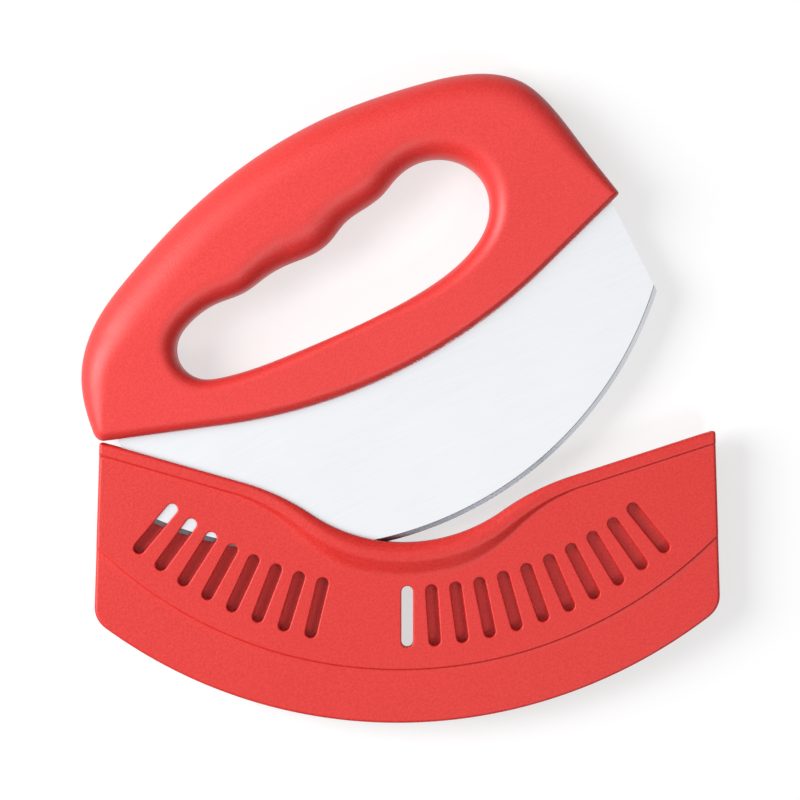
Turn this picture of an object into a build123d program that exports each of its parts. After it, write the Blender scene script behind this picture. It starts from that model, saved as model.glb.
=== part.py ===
from build123d import *
from math import cos, degrees, radians, sin, sqrt, tan
import os

# Rocking pizza knife, lying on its back with its blade partly drawn out of the sheath.
# X runs along the sheath, Y towards its mouth, Z up from the surface it lies on, in millimetres.
# The origin is the middle of the footprint, on that surface.

# Blade
blade_chord = 163.1
blade_sagitta = 35.9
blade_thickness = 1.2
edge_thickness = 0.2
bevel_width = 1.3
blade_side_flare = 2.2
tang_depth = 9.0
tang_end_inset = 8.5
blade_clearance = 0.1

# Handle outline in the blade's own axes: along the blade from its middle, and up from its corners
heel_overhang = 4.65
nose_overhang = 1.55
skirt_radius = 165.0
skirt_low = 10.05
skirt_low_offset = -2.0
heel_angle = 17.0
nose_angle = 20.0
bar_width = 17.35
hole_length = 103.2
hole_height = 36.0
hole_offset = -3.2
grip_depth = 23.4
# The arch between heel and nose: along as shares of the handle's length, up as shares of its height
arch_shares = [
    (0.004, 0.345), (0.022, 0.489), (0.074, 0.638), (0.168, 0.762), (0.295, 0.881), (0.445, 0.970),
    (0.604, 1.000), (0.768, 0.965), (0.867, 0.907), (0.929, 0.807), (0.955, 0.687), (0.977, 0.481),
]
# The finger opening, anticlockwise from its lower left, as shares of its length and height
hole_shares = [
    (0.101, 0.072), (0.311, 0.011), (0.531, 0.000), (0.720, 0.036), (0.876, 0.150), (0.973, 0.358),
    (1.000, 0.636), (0.953, 0.883), (0.851, 1.000), (0.778, 0.958), (0.725, 0.886), (0.657, 0.844),
    (0.594, 0.806), (0.536, 0.722), (0.478, 0.683), (0.386, 0.692), (0.318, 0.672), (0.255, 0.636),
    (0.163, 0.647), (0.080, 0.603), (0.018, 0.489), (0.000, 0.331), (0.029, 0.158),
]

# Handle thickness, rounding and wall
handle_half = 10.0
skirt_half = 6.5
flat_depth = 36.8
arch_round = 8.0
hole_round = 6.0
skirt_round = 1.5
handle_wall = 2.5

# Pins that hold the tang, their bosses, and the ribs inside the grip
pin_count = 4
pin_radius = 2.0
pin_cover = 1.2
pin_end_inset = 14.9
pin_rise_share = 0.6
pin_clearance = 0.05
pin_end_gap = 0.3
boss_wall = 2.2
rib_count = 5
rib_thickness = 1.6

# Sheath outline, sized round the sheathed blade and the skirt that sits on its mouth
side_room = 7.95
edge_room = 2.1
pocket_ease = 16.45
pocket_side_wall = 2.4
pocket_floor_wall = 1.8
band_width = 16.0
sheath_bottom_radius = 148.0
sheath_corner_round = 9.0
side_lean = 1.6
mouth_corner_round = 1.2
dip_room = 12.95
dip_radius = 49.5
shoulder_blend_radius = 73.0
seat_offset = -2.2
seat_gap = 0.4

# Sheath walls and steps, outwards from the middle plane of the blade
slot_half = 1.0
sheath_wall = 2.1
rim_rise = 0.6
rim_width = 3.6
band_drop = 0.6
plate_edge_round = 0.8

# Raised lip round the dip of the mouth
lip_rise = 2.2
lip_width = 9.4
lip_radius = 48.4
lip_slope_angle = 45.0
lip_round = 1.4

# Vent slots through each panel, on an arc about the pocket's centre, in two groups
vent_length = 18.0
vent_width = 3.4
vent_slant = 0.0
vent_inset = 15.2
vent_edge = 0.3
left_vent_count = 8
left_vent_start = 229.5
left_vent_end = 256.5
right_vent_count = 11
right_vent_start = 270.0
right_vent_end = 308.5

# Where the knife turns on the left corner of the sheath's mouth, and how far it is swung out
heel_inset = 0.7
heel_drop = 4.35
swing_angle = 23.58

# One overrun serves every cut that runs out of a piece
overrun = 6.0


def turned(vector, angle):
    """A flat vector turned anticlockwise by an angle in degrees."""
    c, s = cos(radians(angle)), sin(radians(angle))
    return Vector(vector.X * c - vector.Y * s, vector.X * s + vector.Y * c)


def right_of(direction):
    """The flat unit vector to the right of a direction."""
    return turned(direction.normalized(), -90)


def moved_right(curve, points, depth):
    """The points of a curve, each moved to the curve's right, square to it."""
    return [p + right_of(curve.tangent_at(curve.param_at_point(p))) * depth for p in points]


def moved_corner(corner, first_normal, second_normal, depth):
    """Where two straight walls through a corner meet once both have moved along their normals."""
    return corner + (first_normal + second_normal) * (depth / (1 + first_normal.dot(second_normal)))


# Outlines of the knife, in the blade's own axes

hole_low = skirt_low + bar_width
handle_top = hole_low + hole_height + grip_depth
grip_low = handle_top - flat_depth
skirt_centre = Vector(skirt_low_offset, skirt_low + skirt_radius)
skirt_down = Vector(0, -skirt_radius)


def skirt_corner(along, angle):
    """Where the skirt, which runs on straight past an angle of its arc, reaches a place along the blade."""
    end = skirt_centre + turned(skirt_down, angle)
    return Vector(along, end.Y + (along - end.X) * tan(radians(angle)))


heel_corner = skirt_corner(-blade_chord / 2 - heel_overhang, -heel_angle)
nose_corner = skirt_corner(blade_chord / 2 + nose_overhang, nose_angle)


def handle_outline(depth):
    """The outside of the handle without its finger opening, moved in by a depth."""
    length, height = nose_corner.X - heel_corner.X, handle_top - skirt_low
    arch = [Vector(a * length + heel_corner.X, b * height + skirt_low) for a, b in arch_shares]
    points = [heel_corner, *arch, nose_corner]
    down = Vector(0, depth - skirt_radius)
    heel_end, nose_end = turned(down, -heel_angle), turned(down, nose_angle)
    with BuildSketch() as outline:
        with BuildLine():
            outside = Spline(*points, mode=Mode.PRIVATE)
            inner = moved_right(outside, points, depth)
            for i, along, end in ((0, 0, heel_end), (-1, 1, nose_end)):
                wall = right_of(outside.tangent_at(along))
                inner[i] = moved_corner(points[i], wall, end.normalized() * -1, depth)
            Spline(*inner)
            Line(inner[-1], skirt_centre + nose_end)
            ThreePointArc(skirt_centre + nose_end, skirt_centre + down, skirt_centre + heel_end)
            Line(skirt_centre + heel_end, inner[0])
        make_face()
    return outline.sketch


def hole_outline(depth):
    """The finger opening with its finger ridges, grown by a depth."""
    left = hole_offset - hole_length / 2
    points = [Vector(a * hole_length + left, b * hole_height + hole_low) for a, b in hole_shares]
    with BuildSketch() as outline:
        with BuildLine():
            edge = Spline(*points, periodic=True, mode=Mode.PRIVATE)
            Spline(*moved_right(edge, points, depth), periodic=True)
        make_face()
    return outline.sketch


# The blade's edge is an arc from corner to corner, and its tang follows the handle's skirt.
edge_radius = (blade_chord**2 / 4 + blade_sagitta**2) / (2 * blade_sagitta)
edge_centre = Vector(0, edge_radius - blade_sagitta)
blade_side = Vector(blade_chord / 2 - nose_corner.Y * tan(radians(blade_side_flare)), nose_corner.Y)
tang_half = blade_side.X - tang_end_inset


def blade_outline(clearance):
    """The blade and its tang, grown by a clearance."""
    corner = Vector(blade_chord / 2, 0)
    tang_radius = skirt_radius - tang_depth
    tang_ends = [
        Vector(x, skirt_centre.Y - sqrt(tang_radius**2 - (x - skirt_centre.X) ** 2))
        for x in (tang_half, -tang_half)
    ]
    with BuildSketch() as outline:
        with BuildLine():
            ThreePointArc(corner * -1, (0, -blade_sagitta), corner)
            Polyline(corner, blade_side, tang_ends[0])
            ThreePointArc(tang_ends[0], skirt_centre - Vector(0, tang_radius), tang_ends[1])
            Polyline(tang_ends[1], (-blade_side.X, blade_side.Y), corner * -1)
        make_face()
        if clearance:
            offset(amount=clearance, kind=Kind.INTERSECTION, mode=Mode.REPLACE)
    return outline.sketch


# The pins stand evenly on an arc along the middle of the tang.
pin_ring = skirt_radius - pin_rise_share * tang_depth
pin_step = degrees(2 * (tang_half - pin_end_inset) / (pin_count - 1) / pin_ring)
pin_places = [
    skirt_centre + turned(Vector(0, -pin_ring), (i - (pin_count - 1) / 2) * pin_step) for i in range(pin_count)
]


# Outlines of the sheath, from its lowest edge up

# Sheathed, the blade's edge stands clear of the pocket's floor, and the heel's underside of the shoulder.
sheath_half = blade_chord / 2 + side_room + pocket_side_wall
mouth_half = sheath_half - side_lean
pocket_radius = edge_radius + pocket_ease + pocket_floor_wall
pocket_centre = Vector(0, band_width + pocket_radius)
seated = Vector(seat_offset, band_width + pocket_floor_wall + edge_room + blade_sagitta)
shoulder_run = turned(Vector(1, 0), heel_angle)
shoulder_down = right_of(shoulder_run)
seat_side = abs(seated.X + skirt_centre.X)
seat_top = skirt_down.length + seat_gap - (mouth_half - seat_side) * shoulder_down.X
sheath_height = seated.Y + skirt_centre.Y + seat_top / shoulder_down.Y
shoulder_end = Vector(mouth_half, sheath_height)
dip_low = seated.Y + skirt_low - dip_room
dip_centre = Vector(0, dip_low + dip_radius)
# The blend's circle touches the straight shoulder from below and the dip's circle from outside.
from_dip = shoulder_end + shoulder_down * shoulder_blend_radius - dip_centre
blend_reach = dip_radius + shoulder_blend_radius
along_shoulder = sqrt(from_dip.dot(shoulder_run) ** 2 - from_dip.dot(from_dip) + blend_reach**2)
blend_centre = dip_centre + from_dip + shoulder_run * (along_shoulder - from_dip.dot(shoulder_run))


def above_mouth(depth):
    """Everything above the line that runs a depth below the mouth: straight, blend, dip and back."""
    to_shoulder = shoulder_down * -1
    to_dip = (dip_centre - blend_centre).normalized()
    blend_now = shoulder_blend_radius - depth
    end = shoulder_end + shoulder_down * depth + shoulder_run * overrun
    with BuildSketch() as region:
        with BuildLine():
            Line(end, blend_centre + to_shoulder * blend_now)
            ThreePointArc(
                blend_centre + to_shoulder * blend_now,
                blend_centre + (to_shoulder + to_dip).normalized() * blend_now,
                blend_centre + to_dip * blend_now,
            )
            RadiusArc(
                blend_centre + to_dip * blend_now,
                dip_centre - Vector(0, dip_radius + depth),
                dip_radius + depth,
            )
            Line(end, (end.X, end.Y + sheath_height))
            Line((end.X, end.Y + sheath_height), (0, end.Y + sheath_height))
            mirror(about=Plane.YZ)
        make_face()
    return region.sketch


with BuildSketch() as sheath_outline:
    low = sheath_bottom_radius - sqrt(sheath_bottom_radius**2 - sheath_half**2)
    with BuildLine():
        ThreePointArc((-sheath_half, low), (0, 0), (sheath_half, low))
        Polyline(
            (sheath_half, low), (mouth_half, sheath_height), (-mouth_half, sheath_height), (-sheath_half, low)
        )
    make_face()
    add(above_mouth(0), mode=Mode.SUBTRACT)
    fillet(sheath_outline.vertices().group_by(Axis.Y)[0], sheath_corner_round)
    fillet(sheath_outline.vertices().group_by(Axis.Y)[-1], mouth_corner_round)

# The raised panel covers the pocket, and stops at the pocket's round floor.
with BuildSketch() as panel_outline:
    add(sheath_outline.sketch)
    with Locations(pocket_centre):
        Circle(pocket_radius, mode=Mode.INTERSECT)

with BuildSketch() as rim_outline:
    add(sheath_outline.sketch)
    add(above_mouth(rim_width), mode=Mode.INTERSECT)

# The pocket is open at the mouth, and closed at both ends and along its floor.
with BuildSketch() as pocket_outline:
    floor_side = sheath_half - pocket_side_wall
    mouth_side = mouth_half - pocket_side_wall
    with BuildLine():
        Polyline(
            (-floor_side, 0),
            (floor_side, 0),
            (floor_side, low),
            (mouth_side, sheath_height),
            (mouth_side, sheath_height + overrun),
            (-mouth_side, sheath_height + overrun),
            (-mouth_side, sheath_height),
            (-floor_side, low),
            close=True,
        )
    make_face()
    with Locations(pocket_centre):
        Circle(pocket_radius - pocket_floor_wall, mode=Mode.INTERSECT)


# Where the knife lies

heel = Vector(heel_inset - mouth_half, sheath_height - heel_drop)
drawn = heel + turned(seated - heel, swing_angle)

with BuildSketch(Plane(origin=drawn, x_dir=turned(Vector(1, 0), swing_angle))) as handle_print:
    add(handle_outline(0))
with BuildSketch() as sheath_print:
    add(sheath_outline.sketch)
footprint = handle_print.sketch.bounding_box().add(sheath_print.sketch.bounding_box())
middle = Vector(footprint.center().X, footprint.center().Y, -handle_half)
sheath_plane = Plane(origin=middle * -1)
knife_plane = Plane(origin=drawn - middle, x_dir=turned(Vector(1, 0), swing_angle))
knife_side = Plane(origin=knife_plane.origin, x_dir=knife_plane.y_dir, z_dir=knife_plane.x_dir)


# Sheath: two like shells, welded together face to face

panel_half = slot_half + sheath_wall
band_half = panel_half - band_drop
rim_half = panel_half + rim_rise


def rounded_plate(outline, height):
    """A plate that rises from the middle plane, with its upper edge rounded."""
    with BuildPart() as plate:
        with BuildSketch(sheath_plane):
            add(outline)
        extrude(amount=height)
        fillet(plate.edges().group_by(Axis.Z)[-1], plate_edge_round)
    return plate.part


# The lip is a low cone on the panel, cut off by the mouth and rounded over there.
with BuildPart() as lip:
    with BuildSketch(sheath_plane.offset(band_half)):
        with Locations((0, dip_low - lip_width + lip_radius)):
            Circle(lip_radius + (panel_half - band_half) * tan(radians(lip_slope_angle)))
    extrude(amount=panel_half + lip_rise - band_half, taper=lip_slope_angle)
    with BuildSketch(sheath_plane):
        add(sheath_outline.sketch)
    extrude(amount=panel_half + lip_rise, mode=Mode.INTERSECT)
    fillet(lip.edges().group_by(Axis.Z)[-1].sort_by(Axis.Y)[1:], lip_round)

with BuildPart() as sheath_front_shell:
    add(rounded_plate(sheath_outline.sketch, band_half))
    add(rounded_plate(panel_outline.sketch, panel_half))
    add(rounded_plate(rim_outline.sketch, rim_half))
    add(lip.part)
    with BuildSketch(sheath_plane):
        add(pocket_outline.sketch)
    extrude(amount=slot_half, mode=Mode.SUBTRACT)
    with BuildSketch(sheath_plane):
        for start, end, count in (
            (left_vent_start, left_vent_end, left_vent_count),
            (right_vent_start, right_vent_end, right_vent_count),
        ):
            with Locations(pocket_centre):
                with PolarLocations(
                    pocket_radius - vent_inset,
                    count,
                    start_angle=start,
                    angular_range=end - start,
                    endpoint=True,
                ):
                    SlotOverall(vent_length, vent_width, rotation=vent_slant)
    extrude(amount=panel_half, mode=Mode.SUBTRACT)
    vent_rims = sheath_front_shell.edges(Select.LAST).group_by(Axis.Z)[-1]
    chamfer(vent_rims, vent_edge)

# The rear shell is the same moulding turned over about the sheath's own axis.
with BuildPart() as sheath_rear_shell:
    add(sheath_front_shell.part.rotate(Axis(sheath_plane.origin, sheath_plane.y_dir), 180))


# Blade

with BuildPart() as blade:
    with BuildSketch(knife_plane.offset(-blade_thickness / 2)):
        add(blade_outline(0))
        with Locations(*pin_places):
            Circle(pin_radius + pin_clearance, mode=Mode.SUBTRACT)
    extrude(amount=blade_thickness)
    # Both faces are ground to the edge by cones about the centre of the edge's arc.
    grinding_plane = Plane(
        origin=knife_plane.from_local_coords(edge_centre),
        x_dir=knife_plane.x_dir,
        z_dir=knife_plane.y_dir * -1,
    )
    with BuildSketch(grinding_plane):
        with BuildLine():
            Polyline(
                (0, 0),
                (0, blade_thickness / 2),
                (edge_radius - bevel_width, blade_thickness / 2),
                (edge_radius, edge_thickness / 2),
                (edge_radius, 0),
                close=True,
            )
        make_face()
        mirror(about=Plane.XZ)
    revolve(axis=Axis(grinding_plane.origin, grinding_plane.y_dir), mode=Mode.INTERSECT)


# Handle: two hollow shells, welded together round the tang


def handle_body(depth):
    """The solid handle for a depth of zero, or the body whose surface lies that deep inside it."""
    half = handle_half - depth
    with BuildPart() as body:
        with BuildSketch(knife_plane.offset(-half)):
            add(handle_outline(depth))
        extrude(amount=2 * half)
        # Seen from the end, the handle is thick at the grip and falls in one arc to the skirt.
        with BuildSketch(knife_side.offset(heel_corner.X - overrun)):
            with BuildLine():
                top = Polyline(
                    (grip_low, half), (handle_top + overrun, half), (handle_top + overrun, 0), (0, 0)
                )
                fall = TangentArc(top @ 0, (skirt_low, skirt_half - depth), tangent=(-1, 0))
                foot = Line(fall @ 1, fall @ 1 + (fall % 1) * skirt_low)
                Line(foot @ 1, top @ 1)
            make_face()
            mirror(about=Plane.XZ)
        extrude(amount=nose_corner.X - heel_corner.X + 2 * overrun, mode=Mode.INTERSECT)
        arch_wall = body.faces().filter_by(GeomType.EXTRUSION)[0]
        fillet(arch_wall.edges().filter_by(Axis.Z, reverse=True), arch_round - depth)
    return body.part


with BuildPart() as handle_casing:
    add(handle_body(0))
    skirt_wall = handle_casing.faces().sort_by(Axis(knife_plane.origin, knife_plane.y_dir))[0]
    fillet(skirt_wall.edges().filter_by(Axis.Z, reverse=True), skirt_round)
    with BuildSketch(knife_plane.offset(-handle_half)):
        add(hole_outline(0))
    extrude(amount=2 * handle_half, mode=Mode.SUBTRACT)
    fillet(handle_casing.edges(Select.LAST).filter_by(GeomType.LINE, reverse=True), hole_round)

# The hollow leaves a wall all round, a boss at each pin, and ribs across the grip.
with BuildPart() as handle_hollow:
    add(handle_body(handle_wall))
    with BuildSketch(knife_plane.offset(-handle_half)):
        add(hole_outline(handle_wall))
    extrude(amount=2 * handle_half, mode=Mode.SUBTRACT)
    fillet(handle_hollow.edges(Select.LAST).filter_by(GeomType.LINE, reverse=True), hole_round - handle_wall)
    with BuildSketch(knife_plane.offset(-handle_half)):
        with Locations(*pin_places):
            Circle(pin_radius + boss_wall)
        with Locations((hole_offset, (grip_low + handle_top) / 2)):
            with GridLocations(hole_length / rib_count, 0, rib_count, 1):
                Rectangle(rib_thickness, handle_top - grip_low)
    extrude(amount=2 * handle_half, mode=Mode.SUBTRACT)

tang_slot = blade_thickness / 2 + blade_clearance
pin_hole_reach = skirt_half - pin_cover
pin_reach = pin_hole_reach - pin_end_gap
with BuildPart() as handle_walls:
    add(handle_casing.part)
    add(handle_hollow.part, mode=Mode.SUBTRACT)
    with BuildSketch(knife_plane.offset(-tang_slot)):
        add(blade_outline(blade_clearance))
    extrude(amount=2 * tang_slot, mode=Mode.SUBTRACT)
    with BuildSketch(knife_plane.offset(-pin_hole_reach)):
        with Locations(*pin_places):
            Circle(pin_radius + pin_clearance)
    extrude(amount=2 * pin_hole_reach, mode=Mode.SUBTRACT)

with BuildPart() as handle_front_shell:
    add(handle_walls.part)
    split(bisect_by=knife_plane, keep=Keep.TOP)

with BuildPart() as handle_rear_shell:
    add(handle_walls.part)
    split(bisect_by=knife_plane, keep=Keep.BOTTOM)

with BuildPart() as tang_pins:
    with BuildSketch(knife_plane.offset(-pin_reach)):
        with Locations(*pin_places):
            Circle(pin_radius)
    extrude(amount=2 * pin_reach)


# Each piece is written to a file of its own name.

sheath_front_shell.part.label = "sheath_front_shell"
sheath_rear_shell.part.label = "sheath_rear_shell"
blade.part.label = "blade"
handle_front_shell.part.label = "handle_front_shell"
handle_rear_shell.part.label = "handle_rear_shell"
tang_pins.part.label = "tang_pins"

os.makedirs("parts", exist_ok=True)
export_step(sheath_front_shell.part, "parts/sheath_front_shell.step")
export_step(sheath_rear_shell.part, "parts/sheath_rear_shell.step")
export_step(blade.part, "parts/blade.step")
export_step(handle_front_shell.part, "parts/handle_front_shell.step")
export_step(handle_rear_shell.part, "parts/handle_rear_shell.step")
export_step(tang_pins.part, "parts/tang_pins.step")
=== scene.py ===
from math import radians

import bpy
import numpy as np
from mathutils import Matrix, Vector
from mathutils.geometry import delaunay_2d_cdt


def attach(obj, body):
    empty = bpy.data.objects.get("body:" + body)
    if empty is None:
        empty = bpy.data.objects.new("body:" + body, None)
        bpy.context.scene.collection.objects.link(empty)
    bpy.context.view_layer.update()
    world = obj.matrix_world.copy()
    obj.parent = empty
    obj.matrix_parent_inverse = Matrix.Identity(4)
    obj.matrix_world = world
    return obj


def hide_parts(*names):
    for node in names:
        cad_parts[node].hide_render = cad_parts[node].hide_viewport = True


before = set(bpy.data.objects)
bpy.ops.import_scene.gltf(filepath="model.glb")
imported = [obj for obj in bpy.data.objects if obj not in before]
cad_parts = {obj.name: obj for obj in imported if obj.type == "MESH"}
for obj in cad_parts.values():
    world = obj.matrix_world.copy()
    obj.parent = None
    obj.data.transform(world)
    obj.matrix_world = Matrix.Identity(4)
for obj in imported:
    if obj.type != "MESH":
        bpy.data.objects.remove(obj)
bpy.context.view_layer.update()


# The blade is one stamped sheet of stainless steel, 1.2 mm thick, with a satin brushed face.
# Its curved edge is ground from both faces, which leaves a narrow band of cross scratches.
# The tang runs up into the handle. The solid is shown as it is, with the steel's surface and some painted
# light on it.
# A dark line of painted shade lies in the crease where the bevel starts.
# The ground bevel's steel is painted dark grey as shade, and paler towards the nose as painted reflection.

# The knife's own axes in the frame: where they start, and how far they turn about the vertical
knife_turn = radians(23.58)
knife_place = Vector((0.0014974, -0.0022371, 0.010))

# The round edge, its ground bevel and the painted crease shade where the bevel starts, in metres
edge_radius, edge_centre = 0.11057, 0.07467
bevel_width, bevel_blur = 0.0013, 0.00003
crease_shade_core, crease_shade_end, crease_shade_strength = 0.00006, 0.00016, 0.75
# Where the bevel's painted reflection grows paler, along the blade towards the nose
tip_start, tip_end = 0.030, 0.072

# Brush strokes to the metre along and across the face, the colours of the steel, and the painted shade and
# painted reflection on its bevel
brush_length, brush_width = 60.0, 9000.0
brushed_dark, brushed_pale = (0.61, 0.625, 0.655, 1.0), (0.70, 0.71, 0.73, 1.0)
# Painted shade: the ground bevel's steel is made dark grey, with the grinding's random tone between these
# two
bevel_painted_shade_dark, bevel_painted_shade_pale = (0.07, 0.075, 0.09, 1.0), (0.34, 0.35, 0.38, 1.0)
# Painted reflection on the bevel towards the nose, and the painted shade in the crease where the bevel
# starts
tip_painted_reflection, crease_painted_shade = (0.82, 0.84, 0.88, 1.0), (0.06, 0.06, 0.08, 1.0)
least_roughness, brush_gloss, cloud_gloss = 0.19, 0.12, 0.10


class Finish:
    """The node tree of a material or of the studio, with short calls to add and join its nodes."""

    def __init__(self, owner):
        owner.use_nodes = True
        self.owner = owner
        self.tree = owner.node_tree
        self.shader = self.tree.nodes.get("Principled BSDF")

    def node(self, kind, inputs=(), **settings):
        """Adds a node, sets its properties, and fills its sockets with values or other nodes' outputs."""
        node = self.tree.nodes.new(kind)
        for name, value in settings.items():
            setattr(node, name, value)
        for socket, value in dict(inputs).items():
            self.fill(node.inputs[socket], value)
        return node

    def fill(self, socket, value):
        """Gives a socket a plain value, or joins another node's output to it."""
        if isinstance(value, bpy.types.NodeSocket):
            self.tree.links.new(value, socket)
        else:
            socket.default_value = value

    def math(self, operation, first, second=0.0, clamp=False):
        """One step of arithmetic."""
        node = self.node("ShaderNodeMath", {0: first, 1: second}, operation=operation, use_clamp=clamp)
        return node.outputs[0]

    def shade(self, **inputs):
        """Fills the sockets of the material's own shader."""
        for name, value in inputs.items():
            self.fill(self.shader.inputs[name.replace("_", " ")], value)


def dress(thing, finish):
    """Puts one finish on every material slot of a piece."""
    if thing.material_slots:
        for place in thing.material_slots:
            place.link = "OBJECT"
            place.material = finish.owner
    else:
        thing.data.materials.append(finish.owner)


steel = Finish(bpy.data.materials.new("blade_satin_steel"))
spot = steel.node("ShaderNodeTexCoord").outputs["Object"]
along_blade = steel.node(
    "ShaderNodeMapping",
    {"Vector": spot, "Location": knife_place, "Rotation": (0, 0, knife_turn)},
    vector_type="TEXTURE",
).outputs[0]
brush_place = steel.node(
    "ShaderNodeMapping", {"Vector": along_blade, "Scale": (brush_length, brush_width, brush_width)}
).outputs[0]
brushing = steel.node(
    "ShaderNodeTexNoise", {"Vector": brush_place, "Scale": 1.0, "Detail": 3.0, "Roughness": 0.6}
).outputs[0]
cloud = steel.node("ShaderNodeTexNoise", {"Vector": along_blade, "Scale": 30.0, "Detail": 2.0}).outputs[0]
tone = steel.node(
    "ShaderNodeMixRGB", {"Fac": brushing, "Color1": brushed_dark, "Color2": brushed_pale}
).outputs[0]
gloss = steel.math(
    "ADD", steel.math("MULTIPLY", brushing, brush_gloss), steel.math("MULTIPLY", cloud, cloud_gloss)
)
from_centre = steel.node(
    "ShaderNodeVectorMath", {0: along_blade, 1: (0, edge_centre, 0)}, operation="SUBTRACT"
).outputs[0]
outwards = steel.node("ShaderNodeVectorMath", {0: from_centre}, operation="LENGTH").outputs["Value"]
bevel_start = edge_radius - bevel_width
on_bevel = steel.node(
    "ShaderNodeMapRange",
    {"Value": outwards, "From Min": bevel_start - bevel_blur, "From Max": bevel_start + bevel_blur},
).outputs[0]
# A thin dark line of painted shade in the crease where the bevel starts
from_line = steel.math("ABSOLUTE", steel.math("SUBTRACT", outwards, bevel_start))
on_crease_shade = steel.node(
    "ShaderNodeMapRange",
    {
        "Value": from_line, "From Min": crease_shade_core, "From Max": crease_shade_end,
        "To Min": crease_shade_strength, "To Max": 0.0,
    },
).outputs[0]
bearing = steel.node("ShaderNodeVectorMath", {0: from_centre}, operation="NORMALIZE").outputs[0]
grinding = steel.node(
    "ShaderNodeTexNoise", {"Vector": bearing, "Scale": 420.0, "Detail": 4.0, "Roughness": 0.75}
).outputs[0]
# The bevel's steel, painted dark grey as shade, with the grinding's random tone
painted_bevel_tone = steel.node(
    "ShaderNodeMixRGB", {"Fac": grinding, "Color1": bevel_painted_shade_dark, "Color2": bevel_painted_shade_pale}
).outputs[0]
# Towards the nose the bevel is painted paler, as painted reflection
along = steel.node("ShaderNodeSeparateXYZ", {0: along_blade}).outputs["X"]
towards_tip_painted_reflection = steel.node(
    "ShaderNodeMapRange", {"Value": along, "From Min": tip_start, "From Max": tip_end}
).outputs[0]
painted_bevel_tone = steel.node("ShaderNodeMixRGB", {"Fac": towards_tip_painted_reflection, "Color1": painted_bevel_tone, "Color2": tip_painted_reflection}).outputs[0]
tone = steel.node("ShaderNodeMixRGB", {"Fac": on_bevel, "Color1": tone, "Color2": painted_bevel_tone}).outputs[0]
tone = steel.node("ShaderNodeMixRGB", {"Fac": on_crease_shade, "Color1": tone, "Color2": crease_painted_shade}).outputs[0]
scratch = steel.node(
    "ShaderNodeBump", {"Height": brushing, "Strength": 0.15, "Distance": 0.00002}
).outputs[0]
steel.shade(
    Base_Color=tone, Metallic=1.0, Roughness=steel.math("ADD", gloss, least_roughness), Normal=scratch
)
dress(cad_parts["blade"], steel)


# The tang is held by four like dowel pins, cut from bright turned steel rod.
# They are pressed through holes in the tang into the bosses of both handle halves.

pin_dark, pin_pale = (0.60, 0.60, 0.62, 1.0), (0.72, 0.72, 0.74, 1.0)

pin_finish = Finish(bpy.data.materials.new("pin_turned_steel"))
spot = pin_finish.node("ShaderNodeTexCoord").outputs["Object"]
turning = pin_finish.node("ShaderNodeTexNoise", {"Vector": spot, "Scale": 4000.0, "Detail": 2.0}).outputs[0]
pin_tone = pin_finish.node(
    "ShaderNodeMixRGB", {"Fac": turning, "Color1": pin_dark, "Color2": pin_pale}
).outputs[0]
pin_finish.shade(Base_Color=pin_tone, Metallic=1.0, Roughness=0.35)
dress(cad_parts["tang_pins"], pin_finish)


# The handle is two hollow half shells, injection moulded in red plastic with a fine pebbled grain.
# They meet along a seam on the middle plane, closed over the tang, and leave a slot for the blade.
# Their outline is the arch of the grip, the skirt over the blade and the finger opening.

handle_reds = (0.80, 0.036, 0.031, 1.0), (0.94, 0.062, 0.056, 1.0)

# The span of the grain that makes the speckle, how the colour is shared between cloud and speckle, how
# far the gloss varies with it, and how strongly the grain stands out
speckle_low, speckle_high = 0.36, 0.64
cloud_share, speckle_share = 0.3, 0.7
gloss_range, grain_strength = 0.12, 0.7


def red_plastic(name, reds, grain_size, grain_depth, roughness):
    """Satin red plastic: a fine pebbled grain on the skin, and a faint cloud in its colour and gloss."""
    finish = Finish(bpy.data.materials.new(name))
    spot = finish.node("ShaderNodeTexCoord").outputs["Object"]
    grain = finish.node(
        "ShaderNodeTexNoise", {"Vector": spot, "Scale": 1.0 / grain_size, "Detail": 3.0, "Roughness": 0.6}
    ).outputs[0]
    speckle = finish.node(
        "ShaderNodeMapRange", {"Value": grain, "From Min": speckle_low, "From Max": speckle_high}
    ).outputs[0]
    cloud = finish.node("ShaderNodeTexNoise", {"Vector": spot, "Scale": 45.0, "Detail": 3.0}).outputs[0]
    mixed = finish.math(
        "ADD", finish.math("MULTIPLY", cloud, cloud_share), finish.math("MULTIPLY", speckle, speckle_share)
    )
    colour = finish.node("ShaderNodeMixRGB", {"Fac": mixed, "Color1": reds[0], "Color2": reds[1]}).outputs[0]
    gloss = finish.math("ADD", finish.math("MULTIPLY", mixed, gloss_range), roughness - gloss_range / 2)
    bump = finish.node(
        "ShaderNodeBump", {"Height": grain, "Strength": grain_strength, "Distance": grain_depth}
    ).outputs[0]
    finish.shade(Base_Color=colour, Roughness=gloss, Normal=bump)
    finish.shader.inputs["IOR"].default_value = 1.5
    return finish


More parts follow.
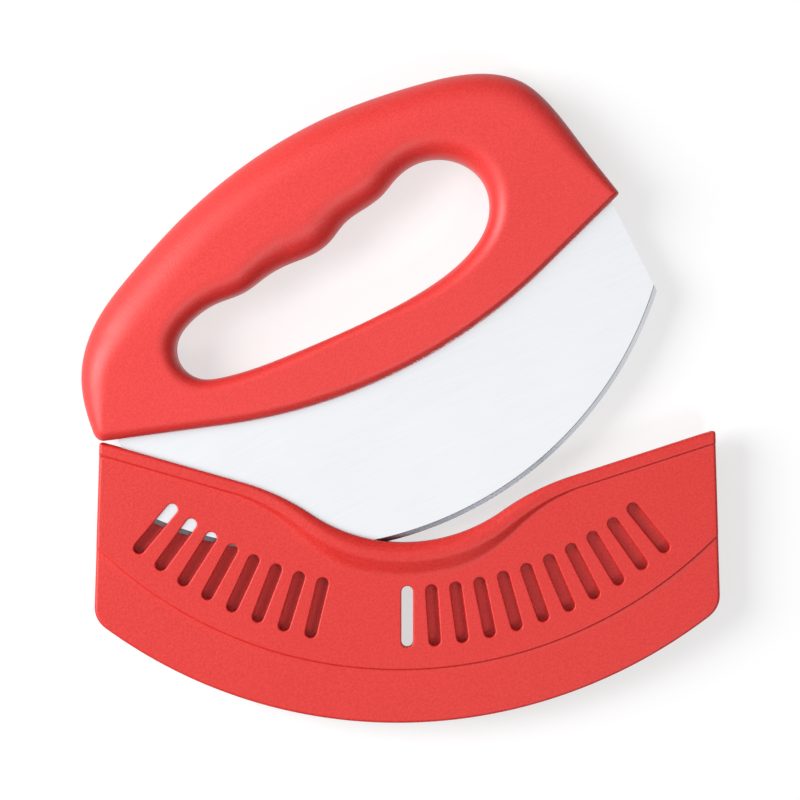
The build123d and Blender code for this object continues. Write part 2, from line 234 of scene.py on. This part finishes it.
# Handle outline, in millimetres in the blade's own axes: X along the blade, Y up from its corners
heel_corner = (-86.2, 28.25)
nose_corner = (83.1, 30.43)
skirt_centre = (-2.0, 175.05)
skirt_radius = 165.0
skirt_ends = (-17.0, 20.0)
handle_low, handle_high = 10.05, 86.8
arch_shares = [
    (0.004, 0.345), (0.022, 0.489), (0.074, 0.638), (0.168, 0.762), (0.295, 0.881), (0.445, 0.970),
    (0.604, 1.000), (0.768, 0.965), (0.867, 0.907), (0.929, 0.807), (0.955, 0.687), (0.977, 0.481),
]
hole_low, hole_left, hole_height, hole_length = 27.4, -54.8, 36.0, 103.2
hole_shares = [
    (0.101, 0.072), (0.311, 0.011), (0.531, 0.000), (0.720, 0.036), (0.876, 0.150), (0.973, 0.358),
    (1.000, 0.636), (0.953, 0.883), (0.851, 1.000), (0.778, 0.958), (0.725, 0.886), (0.657, 0.844),
    (0.594, 0.806), (0.536, 0.722), (0.478, 0.683), (0.386, 0.692), (0.318, 0.672), (0.255, 0.636),
    (0.163, 0.647), (0.080, 0.603), (0.018, 0.489), (0.000, 0.331), (0.029, 0.158),
]
heel_ease, nose_ease = 3.2, 1.2
arch_count, skirt_count, hole_count, clear_of_start = 560, 330, 1400, 40

# Handle thickness above the middle plane, where the slope between grip and skirt lies, and the wall
grip_half, skirt_half = 10.0, 6.5
slope_top, slope_low, ease = 50.0, 10.0, 0.006
wall, least_inside = 2.5, 1.0
# The groove of the seam, the slot for the blade, and how the heights near the two corners are evened
seam = 0.22
blade_slot, blade_side, slot_end = 0.72, 81.0, 0.6
corner_blend, corner_firmness, corner_evening = 9.0, 1.6, 30

# Rounding of the outer edge: its place along the arch or the skirt, its width and its drop
arch_round = [
    (0.00, 3.0, 3.6), (0.05, 7.5, 5.8), (0.14, 12.0, 8.6), (0.62, 12.0, 8.8), (0.78, 10.0, 7.6),
    (0.92, 6.4, 5.2), (1.00, 2.4, 2.6),
]
skirt_round = [(-86.0, 3.2, 3.2), (-20.0, 3.2, 3.2), (30.0, 2.2, 3.0), (83.0, 1.9, 2.6)]
# Rounding of the finger opening: its direction from the middle, its width and its drop
hole_round = [
    (-180, 4.6, 5.6), (-150, 3.4, 4.2), (-110, 2.6, 3.0), (-60, 2.8, 3.2), (-20, 4.8, 6.2), (30, 8.0, 8.2),
    (80, 10.4, 8.8), (140, 10.4, 8.8), (180, 5.2, 5.6),
]


def smooth_curve(points, count, closed=False):
    """The cubic curve through some points, with one slope and one bend where two pieces meet.

    Each piece is a chord plus a cubic part on the bends at its ends; the bends solve one set of equations.
    """
    p = np.array(points, float)
    if closed:
        p = np.vstack([p, p[:1]])
    n = len(p)
    chord = np.linalg.norm(np.diff(p, axis=0), axis=1)
    slope = np.diff(p, axis=0) / chord[:, None]
    links, pull = np.zeros((n, n)), np.zeros((n, 2))
    i = np.arange(1, n - 1)
    links[i, i - 1], links[i, i], links[i, i + 1] = chord[:-1], 2 * (chord[:-1] + chord[1:]), chord[1:]
    pull[1:-1] = 6 * np.diff(slope, axis=0)
    links[0, 0] = links[-1, -1] = 1
    if closed:
        links[0, -1] = -1
        links[-1, 1], links[-1, -2], links[-1, -1] = chord[0], chord[-1], 2 * (chord[0] + chord[-1])
        pull[-1] = 6 * (slope[0] - slope[-1])
    bend = np.linalg.solve(links, pull)
    knots = np.concatenate([[0], np.cumsum(chord)])
    t = np.linspace(0, knots[-1], count, endpoint=not closed)
    k = np.clip(np.searchsorted(knots, t, side="right") - 1, 0, n - 2)
    b = ((t - knots[k]) / chord[k])[:, None]
    a = 1 - b
    lift = (a**3 - a) * bend[k] + (b**3 - b) * bend[k + 1]
    return a * p[k] + b * p[k + 1] + lift * (chord[k] ** 2 / 6)[:, None]


def skirt_height(x):
    """The handle's lower edge: an arc, and beyond its ends the straight lines that touch it."""
    low, high = (skirt_centre[0] + skirt_radius * np.sin(np.radians(a)) for a in skirt_ends)
    inside = np.clip(x, low, high) - skirt_centre[0]
    below = np.sqrt(skirt_radius**2 - inside**2)
    return skirt_centre[1] - below + (x - skirt_centre[0] - inside) * inside / below


def eased(path, corner, reach):
    """A path with one corner rounded: the points nearer than reach go onto a parabola between its ends."""
    near = np.linalg.norm(path - corner, axis=1) < reach
    first, last = np.argmax(near), len(near) - 1 - np.argmax(near[::-1])
    t = np.linspace(0, 1, last - first + 1)[:, None]
    path[first : last + 1] = (1 - t) ** 2 * path[first] + 2 * t * (1 - t) * corner + t**2 * path[last]
    return path


def line_distance(points, path):
    """How far each point is from a chain of straight pieces: the least over the pieces."""
    start, step = path[:-1], np.diff(path, axis=0)
    length = (step**2).sum(1)
    out = np.empty(points.shape[:-1])
    for row in range(len(points)):
        to = points[row][:, None] - start
        t = np.clip((to * step).sum(-1) / length, 0, 1)
        out[row] = np.sqrt(((to - t[..., None] * step) ** 2).sum(-1).min(1))
    return out


def drop(distance, width, depth, squareness=2.0):
    """The fall of a rounded edge: a quarter of an oval, nothing beyond its width."""
    q = np.clip(1 - distance / width, 0, 1)
    return depth * (1 - (1 - q**squareness) ** (1 / squareness))


arch_points = [
    (a * (nose_corner[0] - heel_corner[0]) + heel_corner[0], b * (handle_high - handle_low) + handle_low)
    for a, b in arch_shares
]
arch = smooth_curve([heel_corner, *arch_points, nose_corner], arch_count)
skirt_x = np.linspace(nose_corner[0], heel_corner[0], skirt_count)
skirt = np.stack([skirt_x, skirt_height(skirt_x)], 1)
outline = np.vstack([arch, skirt[1:-1]])
outline = np.roll(outline, clear_of_start, axis=0)
outline = eased(outline, np.array(heel_corner), heel_ease)
outline = eased(outline, np.array(nose_corner), nose_ease)
outline = np.roll(outline, -clear_of_start, axis=0)

# Lines run from the outer edge to the finger opening. Each joins the two places that have the same
# number round a spine, which lies inside the opening.
spine = np.array([(-40.0, 40.5), (24.0, 46.5)])
spine_turn = 16.0


def round_spine(points):
    """One number for each point, growing clockwise round the spine: along it, and by angle at its ends."""
    run = spine[1] - spine[0]
    length = np.linalg.norm(run)
    run = run / length
    to = points - spine[0]
    along = to @ run
    side = to @ np.array([-run[1], run[0]])
    t = np.clip(along, 0, length)
    angle = np.arctan2(side, along - t)
    right_end = length + spine_turn * (np.pi / 2 - angle)
    left_end = 2 * length + spine_turn * (np.pi + np.mod(-np.pi / 2 - angle, 2 * np.pi))
    flat = np.where(side > 0, t, 2 * length - t + spine_turn * np.pi)
    return np.where(along <= 0, left_end, np.where(along >= length, right_end, flat))


spine_round = 2 * np.linalg.norm(spine[1] - spine[0]) + 2 * np.pi * spine_turn
hole_points = [(a * hole_length + hole_left, b * hole_height + hole_low) for a, b in hole_shares]
hole = smooth_curve(hole_points, hole_count, closed=True)
hole_place = round_spine(hole)
order = np.argsort(hole_place)
place = round_spine(outline)
hole_end = np.stack(
    [np.interp(place, hole_place[order], hole[order, i], period=spine_round) for i in (0, 1)], 1
)
across = hole_end - outline
reach = np.linalg.norm(across, axis=1)
across = across / reach[:, None]

# How square to an edge each line counts at least (1 is square), how often values round an edge are
# evened, and the share of a line that its two roundings may take together
least_square, square_evening, round_evening, round_share = 0.7, 4, 12, 0.96


def turn_square(path):
    """The unit normal of a closed path at each of its points, from its neighbours."""
    step = np.roll(path, -1, axis=0) - np.roll(path, 1, axis=0)
    normal = np.stack([step[:, 1], -step[:, 0]], 1)
    return normal / np.linalg.norm(normal, axis=1)[:, None]


def even(values, times):
    """Values round a closed path, each replaced by the mean of itself, twice, and its two neighbours."""
    for _ in range(times):
        values = (np.roll(values, 1, axis=-1) + 2 * values + np.roll(values, -1, axis=-1)) / 4
    return values


outer_square = np.abs((across * turn_square(outline)).sum(1))
outer_square = np.clip(outer_square, least_square, 1)
inner_square = even(np.abs((across * turn_square(hole_end)).sum(1)), square_evening)
inner_square = np.clip(inner_square, least_square, 1)
on_arch = np.arange(len(outline)) < len(arch)
share = np.concatenate([np.linspace(0, 1, len(arch)), np.zeros(len(outline) - len(arch))])
outer_width, outer_drop = (
    even(
        np.where(
            on_arch,
            np.interp(share, [r[0] for r in arch_round], [r[i] for r in arch_round]),
            np.interp(outline[:, 0], [r[0] for r in skirt_round], [r[i] for r in skirt_round]),
        ),
        round_evening,
    )
    for i in (1, 2)
)
hole_middle = hole.mean(0)
bearing = np.degrees(np.arctan2(*(hole_end - hole_middle).T[::-1]))
inner_width, inner_drop = (
    even(np.interp(bearing, [r[0] for r in hole_round], [r[i] for r in hole_round]), round_evening)
    for i in (1, 2)
)

round_steps, face_steps, wall_steps, inside_steps = 16, 26, 4, 20
quarter = 1 - np.cos(np.linspace(0, np.pi / 2, round_steps))
outer_reach, inner_reach = outer_width / outer_square, inner_width / inner_square
squeeze = np.minimum(1, round_share * reach / (outer_reach + inner_reach))
outer_reach, inner_reach = outer_reach * squeeze, inner_reach * squeeze
between = np.linspace(0, 1, face_steps)[1:-1, None]
rows = np.vstack(
    [
        quarter[:, None] * outer_reach,
        outer_reach + between * (reach - outer_reach - inner_reach),
        reach - quarter[::-1, None] * inner_reach,
    ]
)

# Every second point of both edges, closed, is close enough to measure from
coarse_outline, coarse_hole = (np.vstack([path[::2], path[:1]]) for path in (outline, hole))


def handle_face(points):
    """Height of the handle's face above the middle plane.

    The grip's half thickness, less the slope of the bar towards the skirt (a line that starts softly),
    less the rounded falls at the arch, at the skirt and round the finger opening.
    """
    down = (slope_top - points[..., 1]) / (slope_top - slope_low)
    slope = (down + np.sqrt(down**2 + ease)) / 2
    height = grip_half - (grip_half - skirt_half) * slope
    reached = 2 * round_steps
    from_outline = line_distance(points[:reached], coarse_outline)
    from_hole = line_distance(points[-reached:], coarse_hole)
    height[:reached] -= drop(from_outline, outer_width, outer_drop)
    height[-reached:] -= drop(from_hole, inner_width, inner_drop)
    return height


face_xy = outline + rows[..., None] * across
face_z = handle_face(face_xy)

# Where the arch meets the skirt the two rounded falls are evened into one
corner_near = np.minimum(
    np.linalg.norm(outline - heel_corner, axis=1), np.linalg.norm(outline - nose_corner, axis=1)
)
blend = np.clip(corner_firmness - corner_near / corner_blend, 0, 1)
face_z = face_z + blend * (even(face_z, corner_evening) - face_z)


def stacked(points, heights):
    """Rows of points with a height each, as one block of places in space."""
    return np.dstack([points, np.broadcast_to(heights, points.shape[:-1])])


def inward(distance):
    """Places at a distance from the outer edge towards the finger opening, square to the edge."""
    return outline + (distance / outer_square)[:, None] * across


def outward(distance):
    """Places at a distance from the finger opening towards the outer edge."""
    return hole_end - (distance / inner_square)[:, None] * across


# One section of the hollow shell for each point of the outline: seam, side, face, side, seam and inside
in_slot = (~on_arch) * np.clip((blade_side - np.abs(outline[:, 0])) / slot_end, 0, 1)
lip = blade_slot * in_slot
wall_share = np.linspace(0, 1, wall_steps + 1)[1:-1, None]
wall_rows = (wall_steps - 1, *outline.shape)
outer_wall = stacked(
    np.broadcast_to(outline, wall_rows), (lip + seam) + wall_share * (face_z[0] - lip - seam)
)
inner_wall = stacked(np.broadcast_to(hole_end, wall_rows), seam + (1 - wall_share) * (face_z[-1] - seam))
inside_share = np.linspace(0, 1, inside_steps)[:, None]
inside_start, inside_end = inward(wall), outward(wall)
inside_xy = inside_end + inside_share[..., None] * (inside_start - inside_end)
inside_reach = reach - wall / outer_square - wall / inner_square
inside_rows = reach - (wall / inner_square) - inside_share * inside_reach
inside_z = np.stack([np.interp(inside_rows[:, i], rows[:, i], face_z[:, i]) for i in range(len(outline))], 1)
inside_z = np.maximum(inside_z - wall, least_inside)
section = np.concatenate(
    [
        stacked(inward(seam)[None], lip[None]),
        stacked(outline[None], lip[None] + seam),
        outer_wall,
        stacked(face_xy, face_z),
        inner_wall,
        stacked(hole_end[None], np.full((1, len(outline)), seam)),
        stacked(outward(seam)[None], np.zeros((1, len(outline)))),
        stacked(inside_end[None], np.zeros((1, len(outline)))),
        stacked(inside_xy, inside_z),
        stacked(inside_start[None], lip[None]),
    ]
)


def in_place(block, side):
    """Places in the blade's own axes, in millimetres, as places in the row frame, in metres."""
    x, y, z = block[..., 0] / 1000, block[..., 1] / 1000, block[..., 2] / 1000
    c, s = np.cos(knife_turn), np.sin(knife_turn)
    return np.stack(
        [knife_place.x + x * c - y * s, knife_place.y + x * s + y * c, knife_place.z + side * z], -1
    )


def ring_mesh(name, block):
    """A closed skin over rows and columns of places, joined on from the last to the first both ways."""
    rows, columns = block.shape[:2]
    index = np.arange(rows * columns).reshape(rows, columns)
    down, right = np.roll(index, -1, axis=0), np.roll(index, -1, axis=1)
    faces = np.stack([index, down, np.roll(down, -1, axis=1), right], -1).reshape(-1, 4)
    places = block.reshape(-1, 3)
    # A signed volume below zero means that the faces point inwards
    a, b, c = (places[faces[:, i]] for i in range(3))
    if np.einsum("ij,ij->", a, np.cross(b, c)) < 0:
        faces = faces[:, ::-1]
    mesh = bpy.data.meshes.new(name)
    mesh.vertices.add(len(places))
    mesh.vertices.foreach_set("co", places.ravel())
    mesh.loops.add(faces.size)
    mesh.loops.foreach_set("vertex_index", faces.ravel())
    mesh.polygons.add(len(faces))
    mesh.polygons.foreach_set("loop_start", np.arange(0, faces.size, 4))
    mesh.polygons.foreach_set("use_smooth", np.ones(len(faces), bool))
    mesh.update()
    mesh.validate()
    mesh.set_sharp_from_angle(angle=radians(50))
    thing = bpy.data.objects.new(name, mesh)
    bpy.context.collection.objects.link(thing)
    return thing


handle_plastic = red_plastic("handle_red_plastic", handle_reds, 0.00055, 0.00011, 0.40)
for side, name in ((1, "front"), (-1, "rear")):
    shell = ring_mesh("handle_" + name + "_half", in_place(section, side))
    dress(shell, handle_plastic)
    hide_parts("handle_" + name + "_shell")
    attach(shell, "knife")


# The sheath is two like shells moulded in red plastic and welded along the band round the pocket.
# Each has a raised rail along its mouth, which swells into a lip round the dip, and a fan of vent slots.

sheath_reds = (0.68, 0.020, 0.014, 1.0), (0.83, 0.042, 0.035, 1.0)

# Sheath outline, in millimetres up from the middle of its round bottom
sheath_place = (1.368, -95.009)
mouth_half, mouth_top, sheath_side = 90.3, 84.216, 91.9
dip_middle, dip_radius = 102.4, 49.5
shoulder_middle, shoulder_radius, shoulder_slope = (69.493, 1.519), 73.0, 17.0
bottom_radius, pocket_middle, pocket_radius = 148.0, 144.824, 128.82
corner_reach, mouth_corner_reach = 4.35, 1.6
sheath_skew, skew_middle = 0.020, 48.0
middle_height = 10.0

# Heights above the middle plane, and the section of the rail and of the lip that it swells into
panel_half, band_drop, band_step, pocket_half = 3.1, 0.6, 0.55, 1.0
rail_rise, lip_rise = 0.75, 2.2
rail_width, lip_width = 3.5, 5.2
rail_step, lip_ramp = 0.45, 4.3
rail_edge, lip_edge, lip_squareness = (0.8, 0.5), (3.1, 1.9), 1.35
lip_reach = (50.0, 14.0)
weld_pocket, weld_side, weld_step = 2.0, 2.6, 0.2
edge_round, vent_round = 0.9, 0.4
mouth_count, side_count, bottom_count, corner_points = 340, 130, 330, 6

# Vent slots on an arc about the pocket's middle, in two groups: first angle, last angle, count
vent_groups = [(229.5, 256.5, 8), (270.0, 308.5, 11)]
vent_ring, vent_run, vent_half = 113.624, 7.3, 1.7
vent_points = 25


def mouth_height(x):
    """The mouth: an arc in the dip, a counter arc at each shoulder, and a straight line to each corner."""
    a = np.abs(x)
    dip_end = shoulder_middle[0] * dip_radius / (dip_radius + shoulder_radius)
    bend_end = shoulder_middle[0] - shoulder_radius * np.sin(radians(shoulder_slope))
    dip = dip_middle - np.sqrt(np.maximum(dip_radius**2 - a**2, 0))
    bend = shoulder_middle[1] + np.sqrt(np.maximum(shoulder_radius**2 - (a - shoulder_middle[0]) ** 2, 0))
    line = mouth_top + (a - mouth_half) * np.tan(radians(shoulder_slope))
    return np.where(a < dip_end, dip, np.where(a < bend_end, bend, line))


def soft_step(value, start, end):
    """0 before start, 1 after end, and a smooth rise between them."""
    t = np.clip((value - start) / (end - start), 0, 1)
    return t * t * (3 - 2 * t)


def firm_step(value, start, end):
    """0 before start, 1 after end, and a straight slope between them that is eased in and out."""
    t = (value - start) / (end - start)
    return 0.5 + 0.5 * (np.sqrt(t * t + ease) - np.sqrt((1 - t) ** 2 + ease))


def chain(*paths):
    """Paths joined end to end, without the points that they share."""
    return np.vstack([paths[0]] + [p[1:] for p in paths[1:]])


mouth_x = np.linspace(-mouth_half, mouth_half, mouth_count)
mouth = np.stack([mouth_x, mouth_height(mouth_x)], 1)
side_low = bottom_radius - np.sqrt(bottom_radius**2 - sheath_side**2)
low_share = np.linspace(0, 1, side_count)[:, None]
right_side = (1 - low_share) * [mouth_half, mouth_top] + low_share * [sheath_side, side_low]
bottom_turn = np.linspace(1, -1, bottom_count) * np.arcsin(sheath_side / bottom_radius)
bottom = np.stack([bottom_radius * np.sin(bottom_turn), bottom_radius * (1 - np.cos(bottom_turn))], 1)
around = chain(mouth, right_side, bottom, (right_side * [-1, 1])[::-1])[:-1]
around = np.roll(around, clear_of_start, axis=0)
for x, y, near in (
    (sheath_side, side_low, corner_reach), (-sheath_side, side_low, corner_reach),
    (mouth_half, mouth_top, mouth_corner_reach), (-mouth_half, mouth_top, mouth_corner_reach),
):
    around = eased(around, np.array([x, y]), near)
around = np.roll(around, -clear_of_start, axis=0)
edge_path = np.vstack([around[len(mouth) - corner_points :], around[:corner_points]])

vent_angles = np.radians(np.concatenate([np.linspace(*g) for g in vent_groups]))
vent_axes = np.stack([np.cos(vent_angles), np.sin(vent_angles)], 1)
vent_middles = vent_axes * vent_ring + np.array([0, pocket_middle])


def vent_distance(points):
    """How far points are outside the nearest vent slot: from its middle line, less its half width."""
    to = points[:, None] - vent_middles
    along = np.clip((to * vent_axes).sum(-1), -vent_run, vent_run)
    off = to - along[..., None] * vent_axes
    return np.sqrt((off**2).sum(-1)).min(1) - vent_half


def sheath_face(points):
    """Height of the sheath's outer face above the middle plane.

    The panel, less a step at the pocket's arc, plus the rail: a rise that ends in a ramp away from the
    mouth and in a rounded fall towards it. The rail swells towards the middle of the dip. Rounded falls
    follow the outer edge and the vent slots.
    """
    swell = 1 - soft_step(np.abs(points[:, 0]), lip_reach[1], lip_reach[0])
    from_mouth = line_distance(points[None], mouth)[0]
    from_pocket = np.hypot(points[:, 0], points[:, 1] - pocket_middle)
    height = panel_half - band_drop * soft_step(from_pocket, pocket_radius, pocket_radius + band_step)
    crest = rail_width + (lip_width - rail_width) * swell
    ramp = rail_step + (lip_ramp - rail_step) * swell
    rise = rail_rise + (lip_rise - rail_rise) * swell
    height = height + rise * (1 - firm_step(from_mouth, crest, crest + ramp))
    fall_width, fall = (a + (b - a) * swell for a, b in zip(rail_edge, lip_edge))
    height -= drop(from_mouth, fall_width, fall, lip_squareness)
    height -= drop(line_distance(points[None], edge_path)[0], edge_round, edge_round)
    return height - drop(vent_distance(points), vent_round, vent_round)


def beside_path(path, distances):
    """Rows of points to the right of a path, one row for each distance."""
    normal = turn_square(path)
    return (path + np.array(distances)[:, None, None] * normal).reshape(-1, 2)


def inside_path(points, path):
    """True for points inside a closed path: a ray from each crosses it an odd number of times."""
    a, b = path, np.roll(path, -1, axis=0)
    x, y = points[:, :1], points[:, 1:]
    spans = (a[:, 1] > y) != (b[:, 1] > y)
    rise = np.where(b[:, 1] == a[:, 1], 1, b[:, 1] - a[:, 1])
    return (spans & (x < a[:, 0] + (y - a[:, 1]) * (b[:, 0] - a[:, 0]) / rise)).sum(1) % 2 == 1


def vent_loops(grow):
    """The slots' outlines, grown by a distance: a half circle and a straight side, and both turned over."""
    t = np.linspace(-np.pi / 2, np.pi / 2, vent_points)
    width = vent_half + grow
    round_end = np.stack([vent_run + width * np.cos(t), width * np.sin(t)], 1)
    straight = np.linspace(vent_run, -vent_run, vent_points)[1:-1]
    straight = np.stack([straight, np.full(len(straight), width)], 1)
    half_way = np.vstack([round_end, straight])
    slot = np.vstack([half_way, -half_way])
    across_axes = np.stack([-vent_axes[:, 1], vent_axes[:, 0]], 1)
    out, over = slot[:, :1] * vent_axes[:, None], slot[:, 1:] * across_axes[:, None]
    return vent_middles[:, None] + out + over


# The face is a net of triangles, with close rows of points where its height changes. These are the
# distances of the rows from the outer edge, the mouth, the pocket's arc and the vent slots.
edge_levels = [0.12, 0.3, 0.5, 0.75, 1.0]
lip_levels = [1.4, 1.9, 2.4, 2.9, 3.3, 3.6, 3.9, 4.3, 4.8, 5.3, 5.8, 6.4, 7.0, 7.7, 8.4, 9.2]
step_levels = [-0.4, -0.05, 0.12, 0.28, 0.43, 0.6]
vent_levels = [0.1, 0.22, 0.4, 0.6]
lip_trim, step_reach, step_count = 4, 0.80, 420
# Points that crowd each other, the outer edge or a slot are left out
least_gap, nearest_edge, nearest_vent, merge_gap = 0.09, 0.08, 0.06, 1e-6
# The rest is filled by an even grid, which keeps clear of the mouth, the edge, the slots and the step
fill_left, fill_low, fill_step = -91.5, 0.7, 1.5
fill_from_mouth, fill_from_edge, fill_from_vents = 9.8, 1.6, 1.2
fill_from_step, step_middle = 1.1, 0.1

loops = [around, *vent_loops(0)]
edge_rows = beside_path(around, edge_levels)
lip_rows = beside_path(mouth[lip_trim:-lip_trim], lip_levels)
step_turn = np.linspace(-step_reach, step_reach, step_count)
step_arc = np.stack([np.sin(step_turn), -np.cos(step_turn)], 1)
step_rows = np.concatenate([(pocket_radius + r) * step_arc + [0, pocket_middle] for r in step_levels])
vent_rows = np.concatenate([vent_loops(g).reshape(-1, 2) for g in vent_levels])
fill_x = np.arange(fill_left, -fill_left + fill_step / 2, fill_step)
fill_y = np.arange(fill_low, mouth_top, fill_step)
fill = np.stack(np.meshgrid(fill_x, fill_y), -1).reshape(-1, 2)
from_step = np.hypot(fill[:, 0], fill[:, 1] - pocket_middle) - pocket_radius - step_middle
fill = fill[
    (line_distance(fill[None], mouth)[0] > fill_from_mouth)
    & (line_distance(fill[None], edge_path)[0] > fill_from_edge)
    & (vent_distance(fill) > fill_from_vents)
    & (np.abs(from_step) > fill_from_step)
]
inner = np.concatenate([edge_rows, lip_rows, step_rows, vent_rows, fill])
inner = inner[inside_path(inner, around)]
from_edge = line_distance(inner[None], np.vstack([around, around[:1]]))[0]
inner = inner[(from_edge > nearest_edge) & (vent_distance(inner) > nearest_vent)]
inner = inner[np.unique(np.round(inner / least_gap).astype(int), axis=0, return_index=True)[1]]
flat = np.concatenate([*loops, inner])
starts = np.cumsum([0] + [len(p) for p in loops])
rims = [np.arange(a, b) for a, b in zip(starts[:-1], starts[1:])]
fences = np.concatenate([np.stack([r, np.roll(r, -1)], 1) for r in rims])
found, _, faces, _, _, _ = delaunay_2d_cdt([Vector(p) for p in flat], fences.tolist(), [], 0, merge_gap)
flat = np.array([tuple(p) for p in found])
faces = np.array(faces)
middle = flat[faces].mean(1)
faces = faces[inside_path(middle, around) & (vent_distance(middle) > 0)]
twice_area = np.cross(flat[faces[:, 1]] - flat[faces[:, 0]], flat[faces[:, 2]] - flat[faces[:, 0]])
faces = np.where(twice_area[:, None] > 0, faces, faces[:, ::-1])
used, faces = np.unique(faces, return_inverse=True)
faces = faces.reshape(-1, 3)
flat = flat[used]

# Inside, the two halves stand apart over the pocket and meet where they are welded
from_pocket = np.hypot(flat[:, 0], flat[:, 1] - pocket_middle)
weld = np.maximum(
    soft_step(from_pocket, pocket_radius - weld_pocket, pocket_radius - weld_pocket + weld_step),
    soft_step(np.abs(flat[:, 0]), mouth_half - weld_side, mouth_half - weld_side + weld_step),
)
count = len(flat)
top = np.column_stack([flat, sheath_face(flat)])
under = np.column_stack([flat, pocket_half * (1 - weld)])
directed = np.concatenate([faces[:, [0, 1]], faces[:, [1, 2]], faces[:, [2, 0]]])
_, side_number, times = np.unique(
    np.sort(directed, axis=1), axis=0, return_inverse=True, return_counts=True
)
directed = directed[times[side_number.ravel()] == 1]
walls = np.column_stack([directed[:, 1], directed[:, 0], directed[:, 0] + count, directed[:, 1] + count])
places = np.vstack([top, under])
skins = faces.tolist() + (faces[:, ::-1] + count).tolist() + walls.tolist()

sheath_plastic = red_plastic("sheath_red_plastic", sheath_reds, 0.00065, 0.00013, 0.44)
for side, name in ((1, "front"), (-1, "rear")):
    x = side * places[:, 0] + sheath_place[0] + sheath_skew * (places[:, 1] - skew_middle)
    y = places[:, 1] + sheath_place[1]
    z = middle_height + side * places[:, 2]
    mesh = bpy.data.meshes.new("sheath_" + name + "_half")
    mesh.from_pydata((np.stack([x, y, z], 1) / 1000).tolist(), [], skins)
    mesh.polygons.foreach_set("use_smooth", np.ones(len(skins), bool))
    mesh.set_sharp_from_angle(angle=radians(40))
    half = bpy.data.objects.new("sheath_" + name + "_half", mesh)
    bpy.context.collection.objects.link(half)
    dress(half, sheath_plastic)
    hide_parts("sheath_" + name + "_shell")
    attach(half, "sheath")


# The object lies on a pale matt table in a white studio tent, with a bright roof and a bright left wall.
# A large square lamp stands high on the left, and a small one hangs in front, a little to the right.

floor_half, floor_colour, floor_lift = 1.2, (0.42, 0.42, 0.42, 1.0), 0.64
tent_dark, tent_diffuse, tent_mirror = 0.10, 0.34, 1.30
to_the_left = (-0.98, 0.20, 0.0)

bpy.ops.mesh.primitive_plane_add(size=2 * floor_half, location=(0, 0, 0))
floor = bpy.context.object
floor.name = "table_top"


def seen_directly(finish):
    """1 for rays from the camera, a mirror or glass, and 0 for the rays that gather soft light."""
    ray = finish.node("ShaderNodeLightPath")
    seen = finish.math("MAXIMUM", ray.outputs["Is Camera Ray"], ray.outputs["Is Glossy Ray"])
    return finish.math("MAXIMUM", seen, ray.outputs["Is Transmission Ray"])


paper = Finish(bpy.data.materials.new("white_table"))
paper.tree.nodes.remove(paper.shader)
matt = paper.node("ShaderNodeBsdfDiffuse", {"Color": floor_colour}).outputs[0]
lift_strength = paper.math("MULTIPLY", seen_directly(paper), floor_lift)
lift = paper.node("ShaderNodeEmission", {"Color": (1, 1, 1, 1), "Strength": lift_strength}).outputs[0]
both = paper.node("ShaderNodeAddShader", {0: matt, 1: lift}).outputs[0]
paper.fill(paper.tree.nodes["Material Output"].inputs["Surface"], both)
dress(floor, paper)

tent = Finish(bpy.data.worlds.new("studio_tent"))
bpy.context.scene.world = tent.owner
direction = tent.node("ShaderNodeTexCoord").outputs["Generated"]
leftness = tent.node(
    "ShaderNodeVectorMath", {0: direction, 1: to_the_left}, operation="DOT_PRODUCT"
).outputs["Value"]
left_wall = tent.node(
    "ShaderNodeMapRange",
    {"Value": leftness, "From Min": 0.30, "From Max": 0.85},
    interpolation_type="SMOOTHSTEP",
).outputs[0]
height = tent.node("ShaderNodeSeparateXYZ", {0: direction}).outputs["Z"]
roof = tent.node(
    "ShaderNodeMapRange",
    {"Value": height, "From Min": 0.50, "From Max": 0.90},
    interpolation_type="SMOOTHSTEP",
).outputs[0]
lit = tent.math("MAXIMUM", left_wall, roof)
level = tent.math("ADD", tent.math("MULTIPLY", lit, 1 - tent_dark), tent_dark)
ray = tent.node("ShaderNodeLightPath")
mirror = tent.math("MAXIMUM", ray.outputs["Is Glossy Ray"], ray.outputs["Is Transmission Ray"])
dimming = tent.math("ADD", tent.math("MULTIPLY", mirror, tent_mirror - tent_diffuse), tent_diffuse)
level = tent.math("MULTIPLY", level, dimming)
level = tent.math("MAXIMUM", level, ray.outputs["Is Camera Ray"])
backdrop = tent.tree.nodes["Background"]
tent.fill(backdrop.inputs["Color"], (1, 1, 1, 1))
tent.fill(backdrop.inputs["Strength"], level)


def softbox(name, place, size, power):
    """A square lamp at a place, turned to face the object."""
    data = bpy.data.lights.new(name, "AREA")
    data.size = size
    data.energy = power
    lamp = bpy.data.objects.new(name, data)
    lamp.location = place
    lamp.rotation_euler = (-Vector(place)).to_track_quat("-Z", "Y").to_euler()
    bpy.context.collection.objects.link(lamp)


softbox("key_lamp", (-1.00, 0.20, 0.88), 0.80, 18.5)
softbox("strip_lamp", (0.36, -0.52, 0.92), 0.26, 2.0)

# The camera looks straight down from a metre, turned by about a degree, as in the photograph.
camera_data = bpy.data.cameras.new("camera")
camera_data.lens = 150
camera_data.sensor_width = 36
camera = bpy.data.objects.new("camera", camera_data)
camera.location = (0.00013, -0.00024, 0.99)
camera.rotation_euler = (0, 0, radians(-1.1))
bpy.context.collection.objects.link(camera)
scene = bpy.context.scene
scene.camera = camera
scene.view_settings.view_transform = "Standard"
